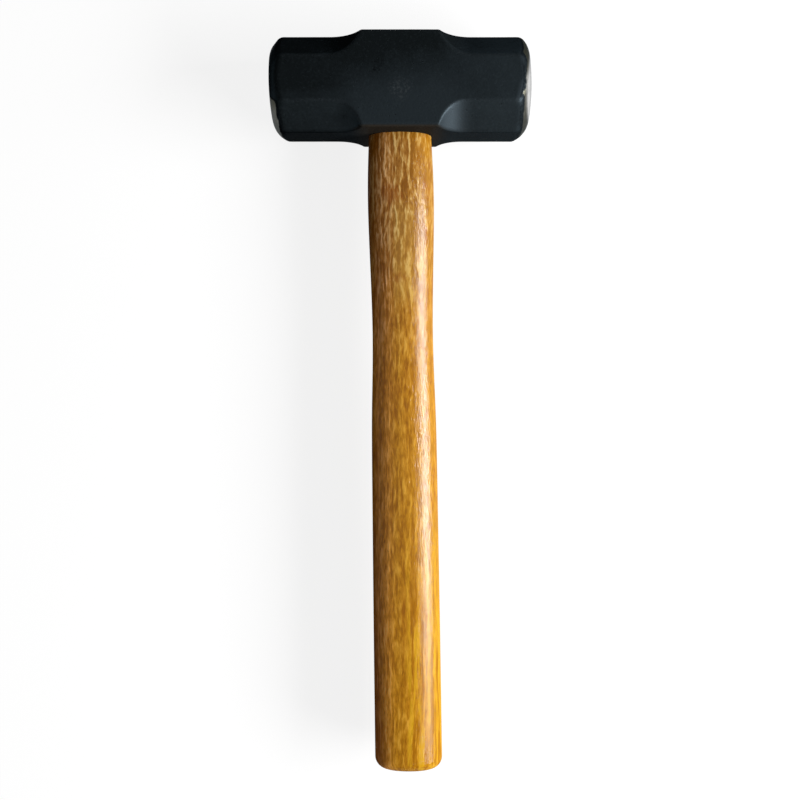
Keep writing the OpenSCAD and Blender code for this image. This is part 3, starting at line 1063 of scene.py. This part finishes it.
# The wooden wedge. Sawn from a paler hardwood than the handle, with its rings the other way, it is
# driven into the kerf along the eye to spread the tenon, and cut off level with it. Only its end
# shows, on top of the head. The piece is the CAD's own.
wedge_tones = ((0.26, 0.13, 0.045), (0.5, 0.31, 0.13), (0.66, 0.47, 0.24))
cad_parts["wood_wedge"].data.materials.clear()
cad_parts["wood_wedge"].data.materials.append(
    hardwood(
        "wedge_wood",
        near=wedge_tones,
        far=wedge_tones,
        sawn_end=((0.38, 0.25, 0.12), (0.6, 0.46, 0.27)),
        heart=(6.0, 90.0),
    )
)

# The steel wedges. Two short tapers of drawn steel, grooved on both faces so that they hold, are
# driven across the wooden one, a little below the end of the wood. Their ends show, scuffed by
# the hammer that drove them and slightly rusty. Both pieces are the CAD's own.
dull_steel = (0.14, 0.135, 0.13)
drawn_steel = (0.36, 0.35, 0.335)
rust_brown = (0.13, 0.06, 0.03)


def driven_steel():
    """Drawn steel, bright where it is scuffed and dulled with a little rust."""
    material, tree, shader, place = new_finish("driven_steel")
    scuff = grain(tree, stretched(tree, place, (2, 0.4, 0.4)), 1.0, detail=4, rough=0.65)
    rust = between(tree, grain(tree, place, 0.5, detail=5, rough=0.65), 0.56, 0.72)
    steel = tint(tree, between(tree, scuff, 0.3, 0.7), dull_steel, drawn_steel)
    tree.links.new(tint(tree, rust, steel, rust_brown), shader.inputs["Base Color"])
    bare = sums(tree, "SUBTRACT", 1.0, sums(tree, "MULTIPLY", rust, 0.8))
    tree.links.new(bare, shader.inputs["Metallic"])
    tree.links.new(sums(tree, "MULTIPLY_ADD", scuff, 0.3, 0.28), shader.inputs["Roughness"])
    tree.links.new(raised(tree, scuff, 0.06 * mm), shader.inputs["Normal"])
    return material


wedge_steel = driven_steel()
for name in ("steel_wedge_left", "steel_wedge_right"):
    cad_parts[name].data.materials.clear()
    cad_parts[name].data.materials.append(wedge_steel)

# The studio: a round pale floor under the hammer, whose rim turns up far round it. The camera
# and reflections see it pale, and it sends only a little light back on to the hammer.
floor_reach = 4.0
floor_rise = 0.7
floor_bend = 0.35
rim_thick = 0.1
floor_under = -30 * mm
floor_top = -0.02 * mm
world_grey = 0.18


def studio_pale(name, lit, bounce):
    """Plain surface that looks lit to the camera, and gives the hammer no more than its bounce."""
    material = bpy.data.materials.new(name)
    material.use_nodes = True
    tree = material.node_tree
    tree.nodes.clear()
    rays = add(tree, "ShaderNodeLightPath").outputs
    seen = sums(tree, "MAXIMUM", rays["Is Glossy Ray"], rays["Is Transmission Ray"])
    seen = sums(tree, "MAXIMUM", rays["Is Camera Ray"], seen)
    matt = add(tree, "ShaderNodeBsdfDiffuse", {"Color": (bounce, bounce, bounce, 1)}).outputs[0]
    shine = add(tree, "ShaderNodeEmission", {"Strength": sums(tree, "MULTIPLY", seen, lit)}).outputs[0]
    both = add(tree, "ShaderNodeAddShader", {0: matt, 1: shine}).outputs[0]
    add(tree, "ShaderNodeOutputMaterial", {"Surface": both})
    return material


# The floor's outline from its underside over the rim and down the bend, as (radius, height)
floor_outline = [
    (floor_reach + rim_thick, floor_under),
    (floor_reach + rim_thick, floor_rise),
    (floor_reach, floor_rise),
]
for turn in np.radians(np.linspace(0, 90, 10)):
    radius = floor_reach - floor_bend * (1 - math.cos(turn))
    floor_outline.append((radius, floor_top + floor_bend * (1 - math.sin(turn))))
circle = [(math.cos(a), math.sin(a)) for a in np.arange(96) * math.tau / 96]
floor = lofted("floor", [[(r * c, r * s, z) for c, s in circle] for r, z in floor_outline])
floor.data.materials.append(studio_pale("floor_white", lit=0.84, bounce=0.21))

world = bpy.data.worlds.new("studio")
bpy.context.scene.world = world
world.use_nodes = True
background = world.node_tree.nodes["Background"]
background.inputs["Color"].default_value = (world_grey, world_grey, world_grey, 1)

# Key light: one large soft source low on the right and a little towards the butt
key_wide = 1.12
key_long = 0.42
key_strength = 1.92
key_reach = 1.2
key_lift = math.radians(28)
key_swing = math.radians(-12.5)
aim = Vector((0, -150 * mm, axis_z))
level = math.cos(key_lift)
toward = Vector((level * math.cos(key_swing), level * math.sin(key_swing), math.sin(key_lift)))
key_light = bpy.data.lights.new("key", "AREA")
key_light.shape = "RECTANGLE"
key_light.size = key_wide
key_light.size_y = key_long
key_light.energy = key_strength * math.pi**2 * key_reach**2
key = bpy.data.objects.new("key", key_light)
key.location = aim + toward * key_reach
key.rotation_euler = (-toward).to_track_quat("-Z", "Y").to_euler()
bpy.context.scene.collection.objects.link(key)

# The camera looks straight down on the hammer, as the picture was taken
camera_height = 575 * mm
view_y = -154.8 * mm
picture_half = 200 * mm
lens = bpy.data.cameras.new("camera")
lens.sensor_fit = "HORIZONTAL"
lens.angle = 2 * math.atan(picture_half / camera_height)
camera = bpy.data.objects.new("camera", lens)
camera.location = (0, view_y, axis_z + camera_height)
bpy.context.scene.collection.objects.link(camera)
bpy.context.scene.camera = camera
bpy.context.scene.view_settings.view_transform = "Standard"
